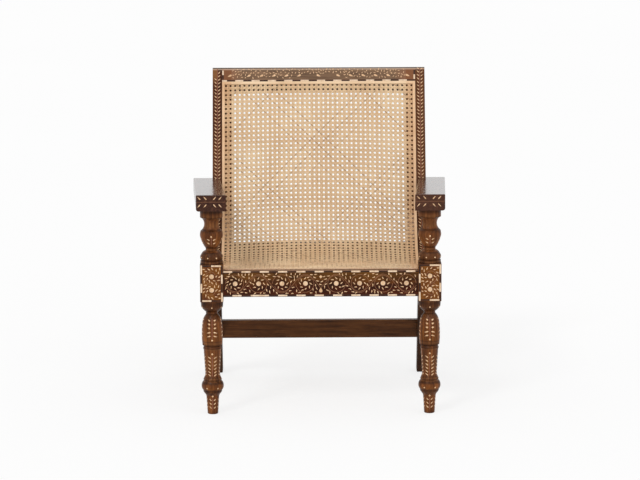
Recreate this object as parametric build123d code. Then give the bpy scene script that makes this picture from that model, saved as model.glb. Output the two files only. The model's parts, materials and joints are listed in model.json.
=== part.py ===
from build123d import *
import os
from math import cos, degrees, radians, sin, tan

# Lounge chair in joined hardwood: turned front posts with square blocks, sawn side frames
# that carry one continuous sheet of woven cane, broad flat arms, and bone and horn inlay.
# X runs to the right, Y from the front to the back, Z up. Lengths in mm, angles in degrees.

# ---- Driving dimensions ----------------------------------------------------------------

# Front posts, each turned from one square blank
post_spacing = 606.0
leg_height = 322.0
block_side = 64.0
block_height = 105.0
support_height = 149.5
post_tenon_radius = 12.0
post_tenon_length = 28.0
foot_radius = 12.0
base_radius = 31.2
disc_radius = 31.5

# Sawn side frames: seat rail and back stile share one curved face that carries the cane
frame_set_in = 24.0  # from the outside of the front blocks
side_width = 55.0
seat_slope = 7.1
seat_run = 264.0
bend_radius = 231.0
back_lean = 21.0
back_run = 407.5
stile_top_thickness = 30.0
side_rail_drop = 71.0  # from the front edge of the seat to the underside of the knee
knee_forward = 2.0
knee_rounding = 14.0
lap_length = 125.0
lap_below_bend_end = 30.0
crest_rounding = 11.0

# Front rail, between the blocks
front_rail_height = 74.0
front_rail_thickness = 34.0
front_rail_recess = 6.0
front_rail_drop = 17.5
front_tenon_height = 48.0
front_tenon_length = 30.0

# Cross rail under the bend of the cane, where the face rises at the heading given here
cross_rail_height = 66.0
cross_rail_thickness = 28.0
cross_rail_heading = 38.0
cross_rail_clearance = 12.0

# Crest rail, between the stiles
crest_height = 73.0
crest_set_in = 2.0
crest_bare_height = 45.5

# Rear legs and their stretcher
rear_leg_set_in = 24.0
rear_leg_width = 46.0
rear_leg_depth = 46.0
rear_foot_reach = 114.0  # from the knee back to the middle of the foot
rear_foot_rounding = 4.0
stretcher_height = 53.0
stretcher_thickness = 22.0
stretcher_clear_height = 114.0

# Arms
arm_thickness = 45.0
arm_slope = 3.5
arm_overhang = 50.0
arm_lap = 27.0
arm_front_set_in = 42.0  # from the post's axis to the arm's inner edge
arm_front_width = 83.0
arm_rear_width = 75.0
arm_cane_clearance = 9.5
arm_edge_rounding = 7.0
arm_top_rounding = 2.5

# Woven cane and its flat binding
cane_thickness = 2.5
binding_width = 7.5
binding_thickness = 1.6
cane_front_margin = 4.0
cane_set_in = 28.0
mesh_columns = 12
mesh_pitch = 44.0  # across, between the middles of the openings
mesh_opening = (19.0, 32.0)  # across and along the cane

# Inlay of bone and horn slips
slip_width = 4.6
slip_depth = 2.0
slip_margin = 1.2
slip_length = 25.4
crest_slip_length = 24.0
crest_end_slip_length = 14.0
front_rail_repeat = 4  # place in the lower row where two bone slips meet
flower_radius = 6.4
rail_flowers = 8
rail_flower_spacing = 65.0
rail_flower_gap = 85.4  # between the two in the middle, which leave room for a motif
block_flower_spacing = 38.0

# Joints
tenon_thickness = 14.0
tenon_length = 24.0
tenon_shoulder = 8.0
leg_tenon_thickness = 12.0
peg_radius = 4.5
joint_fit = 0.2
socket_spare = 1.0
lay_gap = 0.3
edge_break = 1.5
slip_spare = 0.4  # share of a slip above which a row ends in a short slip of its own

# ---- Places worked out from the driving dimensions --------------------------------------

post_x = post_spacing / 2
block_half = block_side / 2
block_top = leg_height + block_height
support_top = block_top + support_height
frame_outer = post_x + block_half - frame_set_in
frame_inner = frame_outer - side_width
side_middle = frame_outer - side_width / 2
rail_end = post_x - block_half
rail_front = front_rail_recess - block_half
rail_back = rail_front + front_rail_thickness
rail_top = block_top - front_rail_drop
rail_bottom = rail_top - front_rail_height
bend_length = bend_radius * radians(90 - back_lean + seat_slope)
bend_end = seat_run + bend_length
crest_travel = bend_end + back_run
crest_thickness = stile_top_thickness - crest_set_in
cane_end = crest_travel - crest_bare_height
cane_edge = frame_outer - cane_set_in
leg_inner = frame_outer - rear_leg_set_in
leg_outer = leg_inner + rear_leg_width
arm_front_inner = post_x - arm_front_set_in
arm_rear_inner = cane_edge + arm_cane_clearance


# ---- The curved face that carries the cane -----------------------------------------------


def face_heading(travel):
    """Angle above the horizontal of the face, at a distance along it from its front edge."""
    turned = min(max(travel - seat_run, 0.0), bend_length)
    return degrees(turned / bend_radius) - seat_slope


def face_point(travel, lift=0.0):
    """(depth, height) of a point on the face, lifted towards the sitter."""
    heading = radians(face_heading(travel))
    start = radians(-seat_slope)
    straight = min(travel, seat_run)
    depth = rail_front + straight * cos(start) + bend_radius * (sin(heading) - sin(start))
    height = rail_top + straight * sin(start) - bend_radius * (cos(heading) - cos(start))
    beyond = max(travel - bend_end, 0.0)
    depth += beyond * cos(heading) - lift * sin(heading)
    height += beyond * sin(heading) + lift * cos(heading)
    return depth, height


def face_edges(first, last, lift=0.0):
    """The face's side curve between two travels, as straight lines and one arc."""
    marks = [first]
    marks += [mark for mark in (seat_run, bend_end) if first < mark < last]
    marks.append(last)
    edges = []
    for low, high in zip(marks, marks[1:]):
        ends = face_point(low, lift), face_point(high, lift)
        middle = (low + high) / 2
        if seat_run < middle < bend_end:
            edges.append(ThreePointArc(ends[0], face_point(middle, lift), ends[1]))
        else:
            edges.append(Line(*ends))
    return edges


def seat_travel(depth):
    """Travel at which the straight seat part of the face reaches a depth."""
    return (depth - rail_front) / cos(radians(seat_slope))


def back_depth(height):
    """Depth of the straight back part of the face at a height."""
    crest_depth, crest_top = face_point(crest_travel)
    return crest_depth - (crest_top - height) * tan(radians(back_lean))


knee_height = rail_top - side_rail_drop
knee_depth = face_point(bend_end)[0] - knee_forward
lap_depth = knee_depth - lap_length
rear_foot_depth = knee_depth + rear_foot_reach
cross_rail_travel = seat_run + bend_radius * radians(cross_rail_heading + seat_slope)
cross_rail_depth, cross_rail_top = face_point(cross_rail_travel, -cross_rail_clearance)


def plank(edges, x_low, x_high):
    """A board sawn to a closed side outline, between two X positions."""
    outline = make_face(Wire(edges))
    board = extrude(Plane.YZ.offset(x_low) * outline, x_high - x_low, dir=(1, 0, 0))
    return Part() + board


def strip(first, last, low, high, x_low, x_high):
    """A layer that follows the face between two travels and two lifts."""
    edges = face_edges(first, last, low)
    edges += face_edges(first, last, high)
    edges.append(Line(face_point(first, low), face_point(first, high)))
    edges.append(Line(face_point(last, low), face_point(last, high)))
    return plank(edges, x_low, x_high)


def block(x_range, y_range, z_range):
    """A rectangular block between three pairs of limits."""
    sizes = [high - low for low, high in (x_range, y_range, z_range)]
    middles = [(low + high) / 2 for low, high in (x_range, y_range, z_range)]
    return Pos(*middles) * Box(*sizes)


def mortise(x_range, y_range, z_range, along):
    """The hole for a tenon with these limits: the fit all round, and spare room at both ends."""
    ranges = [x_range, y_range, z_range]
    room = [socket_spare if axis == along else joint_fit for axis in range(3)]
    return block(*[(low - gap, high + gap) for (low, high), gap in zip(ranges, room)])


def on_side(part, side):
    """A piece modelled for the right side, as it is on the named side."""
    return part if side == "right" else mirror(part, about=Plane.YZ)


def cross_peg(x_low, x_high, depth, height, radius=peg_radius):
    """A round peg that lies along X."""
    turned = Rotation(0, 90, 0) * Cylinder(radius, x_high - x_low)
    return Pos((x_low + x_high) / 2, depth, height) * turned


def face_plane(travel, x=0.0):
    """A plane on the face: X to the right, Y up the face, Z towards the sitter."""
    heading = radians(face_heading(travel))
    depth, height = face_point(travel)
    return Plane(origin=(x, depth, height), x_dir=(1, 0, 0), z_dir=(0, -sin(heading), cos(heading)))


# ---- Inlay ------------------------------------------------------------------------------


def slip_row(place, length, pitch, bone_first, repeat=None):
    """Slips end to end along a plane's X axis: their groove, the bone ones, the horn ones.

    The last slip takes up what the pitch leaves over. From the repeat on, the order is turned.
    """
    groove = place * Pos(0, 0, -slip_depth / 2) * Box(length, slip_width, slip_depth)
    count = max(round(length / pitch + slip_spare), 1)
    slips = {True: [], False: []}
    for number in range(count):
        low = number * pitch
        high = length if number == count - 1 else low + pitch
        slip = Box(high - low - joint_fit, slip_width - joint_fit, slip_depth)
        turned_over = repeat is not None and number >= repeat
        is_bone = (number % 2 == 0) == (bone_first != turned_over)
        middle = (low + high - length) / 2
        slips[is_bone].append(place * Pos(middle, 0, -slip_depth / 2) * slip)
    return groove, slips[True], slips[False]


def flower(place):
    """A round bone flower and the recess that it fills."""
    disc = place * Pos(0, 0, -slip_depth / 2) * Cylinder(flower_radius, slip_depth)
    recess = place * Pos(0, 0, -slip_depth / 2) * Cylinder(flower_radius + lay_gap, slip_depth)
    return recess, disc


def rail_plane(x, height):
    """A plane on the front rail's face, seen from the front."""
    return Plane(origin=(x, rail_front, height), x_dir=(1, 0, 0), z_dir=(0, -1, 0))


def front_rail_inlay():
    """Slips along both edges of the front rail and round flowers between them."""
    length = 2 * rail_end
    edge = slip_margin + slip_width / 2
    top = slip_row(rail_plane(0, rail_top - edge), length, slip_length, True)
    low_plane = rail_plane(0, rail_bottom + edge)
    bottom = slip_row(low_plane, length, slip_length, False, front_rail_repeat)
    middle = (rail_top + rail_bottom) / 2
    flowers = []
    for number in range(rail_flowers // 2):
        for sign in (-1, 1):
            x = sign * (rail_flower_gap / 2 + number * rail_flower_spacing)
            flowers.append(flower(rail_plane(x, middle)))
    cuts = [top[0], bottom[0]] + [recess for recess, _ in flowers]
    return cuts, top[1] + bottom[1], top[2] + bottom[2], [disc for _, disc in flowers]


def crest_inlay():
    """Slips along the crest just above the cane, from the right, and an upright pair at each end."""
    length = 2 * cane_edge
    row_travel = cane_end + slip_margin + slip_width / 2
    row_plane = Plane(face_plane(row_travel).location * Rotation(0, 0, 180))
    groove, bone, horn = slip_row(row_plane, length, crest_slip_length, False)
    cuts = [groove]
    end_x = cane_edge - slip_width / 2
    end_low = cane_end + 2 * slip_margin + slip_width
    end_length = crest_travel - crest_rounding - end_low
    for sign in (-1, 1):
        middle = face_plane(end_low + end_length / 2, sign * end_x).location
        upright = Plane(middle * Rotation(0, 0, 90))
        cut, light, dark = slip_row(upright, end_length, crest_end_slip_length, sign > 0)
        cuts.append(cut)
        bone += light
        horn += dark
    return cuts, bone, horn


def block_inlay(side):
    """A border of slips round the front of one block, and two flowers."""
    sign = 1 if side == "right" else -1
    x = sign * post_x
    middle = leg_height + block_height / 2
    face = Plane(origin=(x, -block_half, middle), x_dir=(1, 0, 0), z_dir=(0, -1, 0))
    edge = slip_margin + slip_width / 2
    high = block_height - 2 * slip_margin
    wide = block_side - 2 * slip_margin - 2 * slip_width
    rows = [
        (Pos(0, block_height / 2 - edge, 0), wide, False),
        (Pos(0, edge - block_height / 2, 0), wide, side == "left"),
        (Pos(sign * (edge - block_half), 0, 0) * Rotation(0, 0, 90), high, True),
        (Pos(sign * (block_half - edge), 0, 0) * Rotation(0, 0, 90), high, False),
    ]
    cuts, bone, horn = [], [], []
    for place, length, bone_first in rows:
        row = slip_row(Plane(face.location * place), length, slip_length, bone_first)
        groove, light, dark = row
        cuts.append(groove)
        bone += light
        horn += dark
    for level in (-1, 1):
        recess, disc = flower(Plane(face.location * Pos(0, level * block_flower_spacing / 2, 0)))
        cuts.append(recess)
        bone.append(disc)
    return cuts, bone, horn


# ---- Front posts ------------------------------------------------------------------------

# Turned forms, from the bottom up: height, radius at the top, and how far the side bulges
# out (or hollows in, where negative). The heights are fitted to the turning's full height.
leg_forms = [
    (3.0, 14.8, 0.9),
    (50.0, 17.8, 0.0),  # tapered foot
    (9.0, 24.6, 0.0),
    (6.0, 26.4, 0.6),  # ring
    (25.0, 27.0, 4.3),  # bead
    (2.0, 24.8, 0.0),
    (4.0, 25.8, 0.0),
    (13.0, 20.2, 0.0),
    (70.5, 24.2, 0.0),  # column
    (9.0, 24.4, 1.4),  # ring
    (2.5, 23.4, 0.0),
    (2.0, 27.6, 0.0),
    (62.0, 27.4, 1.7),  # long vase
    (27.0, 16.0, 2.4),
    (4.5, 15.6, 0.0),  # neck
    (15.5, 30.4, 1.4),
    (17.0, 31.6, 0.0),  # bowl under the block
]
support_forms = [
    (8.0, base_radius, 0.0),
    (2.0, 28.8, 0.0),
    (16.0, 28.8, 3.0),  # base ring
    (11.0, 16.6, 2.0),
    (6.0, 16.2, 0.0),  # neck
    (33.0, 31.4, 1.8),  # vase
    (17.0, 29.8, 1.2),
    (1.5, 27.6, 0.0),
    (33.0, 25.8, -6.6),  # cove
    (3.5, disc_radius, 0.0),
    (20.0, disc_radius, 0.0),  # disc under the arm
]


def fitted(forms, height):
    """The turned forms with their heights scaled to add up to a full height."""
    share = height / sum(rise for rise, _, _ in forms)
    return [(rise * share, radius, bulge) for rise, radius, bulge in forms]


def turned(forms, start_height, start_radius):
    """A solid of revolution built up from turned forms."""
    edges = [Line((0, start_height), (start_radius, start_height))]
    height, radius = start_height, start_radius
    for rise, end_radius, bulge in forms:
        ends = (radius, height), (end_radius, height + rise)
        edges.append(SagittaArc(*ends, -bulge) if bulge else Line(*ends))
        height, radius = height + rise, end_radius
    edges.append(Line((radius, height), (0, height)))
    edges.append(Line((0, height), (0, start_height)))
    outline = make_face(Wire(edges))
    return Part() + revolve(Plane.XZ * outline, Axis.Z)


def front_tenon(sign):
    """Tenon of the front rail into a block."""
    middle = rail_front + front_rail_thickness / 2
    low = (rail_top + rail_bottom) / 2 - front_tenon_height / 2
    x_range = sorted((sign * rail_end, sign * (rail_end + front_tenon_length)))
    y_range = (middle - tenon_thickness / 2, middle + tenon_thickness / 2)
    return x_range, y_range, (low, low + front_tenon_height)


def side_tenon():
    """Tenon on the front of the right seat rail, into the back of the block."""
    x_range = (side_middle + tenon_shoulder / 2, side_middle + tenon_shoulder / 2 + tenon_thickness)
    y_range = (block_half - tenon_length + 2 * socket_spare, block_half)
    top = face_point(seat_travel(block_half))[1]
    return x_range, y_range, (knee_height + tenon_shoulder, top - 2 * tenon_shoulder)


def front_post(side, cuts):
    """One turned post, its disc cut to the slope of the arm that lies on it."""
    disc_rise = (2 * disc_radius * tan(radians(arm_slope)), disc_radius, 0.0)
    support = fitted(support_forms, support_height) + [disc_rise]
    square = block((-block_half, block_half), (-block_half, block_half), (leg_height, block_top))
    square = chamfer(square.edges().filter_by(Axis.Z), edge_break)
    post = turned(fitted(leg_forms, leg_height), 0, foot_radius) + square
    post += turned(support, block_top, base_radius)
    post = Pos(post_x, 0, 0) * post - arm_blank()
    peg_height = support_top - disc_radius
    peg = Cylinder(post_tenon_radius, post_tenon_length + disc_radius, align=(Align.CENTER, Align.CENTER, Align.MIN))
    post += Pos(post_x, 0, peg_height) * peg
    post -= mortise(*front_tenon(1), along=0)
    post -= mortise(*side_tenon(), along=1)
    return on_side(post, side) - cuts


# ---- Side frames ------------------------------------------------------------------------


def rear_line_point(height):
    """Depth of the side frame's back edge, which runs straight from the crest to the knee."""
    top_depth, top_height = face_point(crest_travel, -stile_top_thickness)
    share = (height - knee_height) / (top_height - knee_height)
    return knee_depth + share * (top_depth - knee_depth)


def side_blank():
    """Seat rail and stile of the right side as one outline, before they are parted."""
    first = seat_travel(rail_back)
    edges = face_edges(first, crest_travel)
    crest_back = face_point(crest_travel, -stile_top_thickness)
    edges.append(Line(face_point(crest_travel), crest_back))
    edges.append(Line(crest_back, (knee_depth, knee_height)))
    edges.append(Line((knee_depth, knee_height), (rail_back, knee_height)))
    edges.append(Line((rail_back, knee_height), face_point(first)))
    blank = plank(edges, frame_inner, frame_outer)
    along_x = blank.edges().filter_by(Axis.X)
    crest = along_x.sort_by(Axis.Z)[-1]
    blank = fillet(crest, crest_rounding)
    knee = [edge for edge in blank.edges().filter_by(Axis.X) if edge.center().Z < knee_height + 1]
    knee = sorted(knee, key=lambda edge: edge.center().Y)[-1]
    blank = fillet(knee, knee_rounding)
    return blank


def lap_plane():
    """Where the half-lap ends on the stile, square to the face."""
    travel = bend_end - lap_below_bend_end
    heading = radians(face_heading(travel))
    depth, height = face_point(travel)
    return Plane(origin=(0, depth, height), x_dir=(1, 0, 0), z_dir=(0, cos(heading), sin(heading)))


def parted(blank):
    """The blank parted into seat rail and stile, halved together in the knee."""
    upper = split(blank, lap_plane(), keep=Keep.TOP)
    lower = split(blank, lap_plane(), keep=Keep.BOTTOM)
    lap_start = Plane(origin=(0, lap_depth, 0), z_dir=(0, 1, 0))
    front = split(lower, lap_start, keep=Keep.BOTTOM)
    knee = split(lower, lap_start, keep=Keep.TOP)
    halving = Plane(origin=(side_middle, 0, 0), z_dir=(1, 0, 0))
    outer = split(knee, halving, keep=Keep.TOP)
    inner = split(knee, halving, keep=Keep.BOTTOM)
    return Part() + front + outer, Part() + upper + inner


def peg_places():
    """(depth, height) of the three pegs through each half-lap."""
    low = (lap_depth + peg_radius * 5, (knee_height + face_point(seat_run)[1]) / 2 + peg_radius * 2)
    rear = rear_line_point(cross_rail_top) - peg_radius * 6
    high = face_point(bend_end - 2 * lap_below_bend_end, -peg_radius * 6)
    return [low, (rear, cross_rail_top - peg_radius * 2), high]


def cross_rail_tenon(sign):
    middle = cross_rail_depth + cross_rail_thickness / 2
    x_range = sorted((sign * frame_inner, sign * (frame_inner + tenon_length)))
    y_range = (middle - tenon_thickness / 2, middle + tenon_thickness / 2)
    z_range = (cross_rail_top - cross_rail_height + tenon_shoulder, cross_rail_top - tenon_shoulder)
    return x_range, y_range, z_range


def crest_tenon(sign, room=0.0, end_room=0.0):
    """Tenon of the crest rail into a stile, square to the back; room makes its mortise."""
    place = face_plane(crest_travel - crest_height / 2).location
    length = tenon_length + 2 * end_room
    size = Box(length, crest_height - 2 * tenon_shoulder + 2 * room, tenon_thickness + 2 * room)
    return place * Pos(sign * (frame_inner + tenon_length / 2), 0, -crest_thickness / 2) * size


def arm_peg_place():
    """(depth, height) of the peg that ties the arm to its stile."""
    depth, height = arm_meets_back()
    return depth + arm_lap / 2, height


def leg_tenon():
    """Tenon on the right rear leg, up into the outer half of the knee."""
    middle = (side_middle + frame_outer) / 2
    x_range = (middle - leg_tenon_thickness / 2, middle + leg_tenon_thickness / 2)
    half = rear_leg_depth / 2 - tenon_shoulder
    y_range = (leg_axis(knee_height) - half, leg_axis(knee_height) + half)
    return x_range, y_range, (knee_height, knee_height + tenon_length)


def side_pieces(side, cuts):
    """One seat rail and one back stile."""
    seat_rail, stile = parted(side_blank())
    corner = (rail_end, post_x + block_half)
    seat_rail -= block(corner, (-block_half, block_half), (0, block_top))
    seat_rail += block(*side_tenon())
    seat_rail -= mortise(*leg_tenon(), along=2)
    stile -= mortise(*cross_rail_tenon(1), along=0)
    stile -= crest_tenon(1, joint_fit, socket_spare)
    depth, height = arm_peg_place()
    stile -= cross_peg(side_middle, frame_outer, depth, height, peg_radius + joint_fit)
    for depth, height in peg_places():
        hole = cross_peg(frame_inner - 1, frame_outer + 1, depth, height, peg_radius + joint_fit)
        seat_rail -= hole
        stile -= hole
    return on_side(seat_rail, side), on_side(stile, side) - cuts


def lap_pegs(side):
    pegs = [cross_peg(frame_inner, frame_outer, *place) for place in peg_places()]
    return [on_side(peg, side) for peg in pegs]


# ---- Cross members ----------------------------------------------------------------------


def front_rail(cuts):
    back_top = face_point(seat_travel(rail_back))
    corners = [(rail_front, rail_bottom), (rail_back, rail_bottom), back_top, (rail_front, rail_top)]
    edges = [Line(low, high) for low, high in zip(corners, corners[1:] + corners[:1])]
    rail = plank(edges, -rail_end, rail_end)
    lower = rail.edges().filter_by(Axis.X).sort_by(Axis.Z)[:2]
    rail = fillet(lower.sort_by(Axis.Y)[-1:], edge_break)
    for sign in (-1, 1):
        rail += block(*front_tenon(sign))
    return rail - cuts


def cross_rail():
    x_range = (-frame_inner, frame_inner)
    y_range = (cross_rail_depth, cross_rail_depth + cross_rail_thickness)
    rail = block(x_range, y_range, (cross_rail_top - cross_rail_height, cross_rail_top))
    upper = rail.edges().filter_by(Axis.X).sort_by(Axis.Z)[-2:]
    rail = fillet(upper, cross_rail_thickness / 3)
    for sign in (-1, 1):
        rail += block(*cross_rail_tenon(sign))
    return rail


def crest_rail(cuts):
    rail = strip(crest_travel - crest_height, crest_travel, -crest_thickness, 0, -frame_inner, frame_inner)
    top_edge = rail.edges().filter_by(Axis.X).sort_by(Axis.Z)[-1]
    rail = fillet(top_edge, crest_rounding)
    for sign in (-1, 1):
        rail += crest_tenon(sign)
    return rail - cuts


# ---- Rear legs and stretcher ------------------------------------------------------------


def leg_rake():
    """Depth that the rear leg gains for each mm it drops."""
    top_middle = knee_depth - knee_rounding - rear_leg_depth / 2
    return (rear_foot_depth - top_middle) / knee_height


def leg_axis(height):
    return rear_foot_depth - leg_rake() * height


def rear_leg(side):
    across = rear_leg_depth / 2 * (1 + leg_rake() ** 2) ** 0.5
    foot, top = leg_axis(0), leg_axis(knee_height)
    corners = [(foot - across, 0), (foot + across, 0), (top + across, knee_height), (top - across, knee_height)]
    edges = [Line(low, high) for low, high in zip(corners, corners[1:] + corners[:1])]
    leg = plank(edges, leg_inner, leg_outer)
    leg = fillet(leg.faces().sort_by(Axis.Z)[0].edges(), rear_foot_rounding)
    leg += block(*leg_tenon())
    leg -= mortise(*stretcher_tenon(1), along=0)
    return on_side(leg, side)


def stretcher_range():
    low = stretcher_clear_height
    middle = leg_axis(low + stretcher_height / 2)
    return (middle - stretcher_thickness / 2, middle + stretcher_thickness / 2), (low, low + stretcher_height)


def stretcher_tenon(sign):
    (front, back), (low, high) = stretcher_range()
    x_range = sorted((sign * leg_inner, sign * (leg_inner + tenon_length)))
    inset = stretcher_thickness / 4
    return x_range, (front + inset, back - inset), (low + tenon_shoulder, high - tenon_shoulder)


def stretcher():
    y_range, z_range = stretcher_range()
    rail = block((-leg_inner, leg_inner), y_range, z_range)
    rail = fillet(rail.edges().filter_by(Axis.X), edge_break)
    for sign in (-1, 1):
        rail += block(*stretcher_tenon(sign))
    return rail


# ---- Arms -------------------------------------------------------------------------------


def arm_meets_back():
    """(depth, height) where the arm's middle line meets the face of the back."""
    fall, lean = tan(radians(arm_slope)), tan(radians(back_lean))
    start = support_top + arm_thickness / 2
    depth = back_depth(start) / (1 + fall * lean)
    return depth, start - depth * fall


def arm_blank():
    """The right arm as a sloping plank with splayed sides, before its joints are cut."""
    front, rear = -arm_overhang, arm_meets_back()[0] + arm_lap
    plan = [
        (arm_front_inner, front),
        (arm_front_inner + arm_front_width, front),
        (arm_rear_inner + arm_rear_width, rear),
        (arm_rear_inner, rear),
    ]
    edges = [Line(low, high) for low, high in zip(plan, plan[1:] + plan[:1])]
    arm = Part() + extrude(make_face(Wire(edges)), arm_thickness)
    bottom = arm.faces().sort_by(Axis.Z)[0].edges()
    outer_bottom = bottom.sort_by(Axis.X)[-1]
    arm = fillet(outer_bottom, arm_edge_rounding)
    top = arm.faces().sort_by(Axis.Z)[-1].edges()
    arm = fillet(top, arm_top_rounding)
    return Pos(0, 0, support_top) * Rotation(-arm_slope, 0, 0) * arm


def armrest(side):
    arm = arm_blank()
    socket = Cylinder(
        post_tenon_radius + joint_fit,
        post_tenon_length + socket_spare + disc_radius,
        align=(Align.CENTER, Align.CENTER, Align.MIN),
    )
    arm -= Pos(post_x, 0, support_top - disc_radius) * socket
    arm -= strip(seat_run, crest_travel, -2 * knee_depth, 0, 0, frame_outer)
    depth, height = arm_peg_place()
    arm -= cross_peg(frame_inner, arm_rear_inner + 2 * arm_rear_width, depth, height, peg_radius + joint_fit)
    return on_side(arm, side)


def arm_peg(side):
    depth, height = arm_peg_place()
    outer = arm_rear_inner + arm_rear_width - edge_break
    return on_side(cross_peg(side_middle + socket_spare, outer, depth, height), side)


# ---- Cane -------------------------------------------------------------------------------

cane_low = lay_gap
cane_high = lay_gap + cane_thickness
binding_low = cane_high + joint_fit
binding_high = binding_low + binding_thickness


def block_room(side):
    """The space of one block, with room for the cane to be cut round it."""
    low, high = rail_end - lay_gap, post_x + block_half + lay_gap
    return on_side(block((low, high), (-block_side, block_half + lay_gap), (0, 2 * block_top)), side)


def cane_openings():
    """The open mesh of the cane, at a coarser pitch than the weave's own."""
    across, along = mesh_opening
    row_pitch = (cane_end - cane_front_margin) / mesh_columns
    openings = []
    for row in range(mesh_columns):
        middle = cane_front_margin + (row + 0.5) * row_pitch
        for column in range(mesh_columns):
            x = (column - (mesh_columns - 1) / 2) * mesh_pitch
            first, last = middle - along / 2, middle + along / 2
            openings.append(strip(first, last, 0, 2 * cane_high, x - across / 2, x + across / 2))
    return openings


def cane_panel():
    """The cane as one sheet with as many rows of openings as columns."""
    panel = strip(cane_front_margin, cane_end, cane_low, cane_high, -cane_edge, cane_edge)
    panel -= cane_openings()
    for side in ("left", "right"):
        panel -= block_room(side)
    return panel


def side_binding(side):
    first = seat_travel(block_half + lay_gap)
    inner = cane_edge - binding_width
    return on_side(strip(first, cane_end, binding_low, binding_high, inner, cane_edge), side)


def cross_binding(first, half_length):
    return strip(first, first + binding_width, binding_low, binding_high, -half_length, half_length)


# ---- The whole chair --------------------------------------------------------------------


def all_pieces():
    """Every piece by name, in the frame in which it was laid out."""
    rail_cuts, rail_bone, rail_horn, rail_discs = front_rail_inlay()
    crest_cuts, crest_bone, crest_horn = crest_inlay()
    pieces = {
        "front_rail": front_rail(rail_cuts),
        "front_rail_bone_slips": rail_bone,
        "front_rail_horn_slips": rail_horn,
        "front_rail_flowers": rail_discs,
        "top_rail": crest_rail(crest_cuts),
        "top_rail_bone_slips": crest_bone,
        "top_rail_horn_slips": crest_horn,
        "rear_seat_rail": cross_rail(),
        "rear_stretcher": stretcher(),
        "cane_panel": cane_panel(),
        "cane_binding_top": cross_binding(cane_end - binding_width, cane_edge - binding_width - joint_fit),
        "cane_binding_front": cross_binding(cane_front_margin, rail_end - lay_gap),
    }
    for side in ("left", "right"):
        block_cuts, block_bone, block_horn = block_inlay(side)
        pieces[f"front_post_{side}"] = front_post(side, block_cuts)
        pieces[f"block_bone_inlay_{side}"] = block_bone
        pieces[f"block_horn_slips_{side}"] = block_horn
        pieces[f"seat_side_rail_{side}"], pieces[f"back_stile_{side}"] = side_pieces(side, crest_cuts)
        pieces[f"lap_pegs_{side}"] = lap_pegs(side)
        pieces[f"rear_leg_{side}"] = rear_leg(side)
        pieces[f"armrest_{side}"] = armrest(side)
        pieces[f"arm_peg_{side}"] = arm_peg(side)
        pieces[f"cane_binding_{side}"] = side_binding(side)
    return pieces


def solids_of(piece):
    """The separate solids of a piece or of a group of pieces."""
    group = piece if isinstance(piece, list) else [piece]
    return [solid for member in group for solid in member.solids()]


def export_all():
    """Writes each piece, with the middle of the chair's footprint at the origin."""
    os.makedirs("parts", exist_ok=True)
    groups = {name: solids_of(piece) for name, piece in all_pieces().items()}
    box = Compound([solid for group in groups.values() for solid in group]).bounding_box()
    centre = Pos(-box.center().X, -box.center().Y, -box.min.Z)
    for name, group in groups.items():
        moved = [centre * solid for solid in group]
        whole = moved[0] if len(moved) == 1 else Compound(moved)
        export_step(whole, f"parts/{name}.step")


export_all()
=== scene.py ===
import json
import random
from math import atan2, cos, hypot, pi, radians, sin

import bpy
import numpy as np
from mathutils import Euler, Matrix, Vector
from mathutils.bvhtree import BVHTree

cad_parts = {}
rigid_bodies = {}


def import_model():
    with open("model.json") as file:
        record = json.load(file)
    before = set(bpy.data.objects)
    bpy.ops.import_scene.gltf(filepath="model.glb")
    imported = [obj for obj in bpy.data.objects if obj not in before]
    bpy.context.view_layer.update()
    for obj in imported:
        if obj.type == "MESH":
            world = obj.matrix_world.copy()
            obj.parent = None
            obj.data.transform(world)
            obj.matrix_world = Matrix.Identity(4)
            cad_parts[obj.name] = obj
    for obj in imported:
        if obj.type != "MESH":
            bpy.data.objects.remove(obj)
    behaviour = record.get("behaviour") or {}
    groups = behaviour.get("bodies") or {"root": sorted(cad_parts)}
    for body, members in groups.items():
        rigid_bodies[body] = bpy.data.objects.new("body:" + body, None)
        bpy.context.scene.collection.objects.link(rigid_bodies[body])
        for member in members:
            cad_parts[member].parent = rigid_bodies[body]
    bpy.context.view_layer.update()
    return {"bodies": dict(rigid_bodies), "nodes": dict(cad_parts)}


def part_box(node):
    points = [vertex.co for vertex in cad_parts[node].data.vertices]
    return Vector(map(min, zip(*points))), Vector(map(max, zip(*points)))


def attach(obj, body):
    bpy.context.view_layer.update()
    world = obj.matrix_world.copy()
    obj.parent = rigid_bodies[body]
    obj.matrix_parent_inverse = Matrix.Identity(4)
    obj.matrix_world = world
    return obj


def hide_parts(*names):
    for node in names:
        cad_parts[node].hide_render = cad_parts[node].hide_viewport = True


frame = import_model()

# Lounge chair with a continuous woven cane seat and back, turned front posts and bone inlay.
# Metres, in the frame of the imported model: X to the right, Y from front to back, Z up.

MM = 0.001
BODY = next(iter(frame["bodies"]))
SIGN = {"left": -1, "right": 1}

# ---- Sizes that repeat the model's ----

SEAT_SLOPE = radians(7.1)
SEAT_RUN = 264 * MM
BEND_RADIUS = 231 * MM
BACK_LEAN = radians(21)
BEND_LENGTH = BEND_RADIUS * (pi / 2 - BACK_LEAN + SEAT_SLOPE)
STILE_WIDTH = 55 * MM
BLOCK_HALF = 32 * MM
BLOCK_BOTTOM = 322 * MM
BLOCK_TOP = 427 * MM
BLOCK_MIDDLE = (BLOCK_BOTTOM + BLOCK_TOP) / 2
CREST_BARE = 42.5 * MM  # rise of the crest's bare face, before its upper edge is rounded

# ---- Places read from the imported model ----

rail_low, rail_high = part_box("front_rail")
_, cane_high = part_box("cane_panel")
post_low, post_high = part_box("front_post_right")
_, stile_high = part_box("back_stile_right")
_, crest_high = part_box("top_rail")

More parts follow.
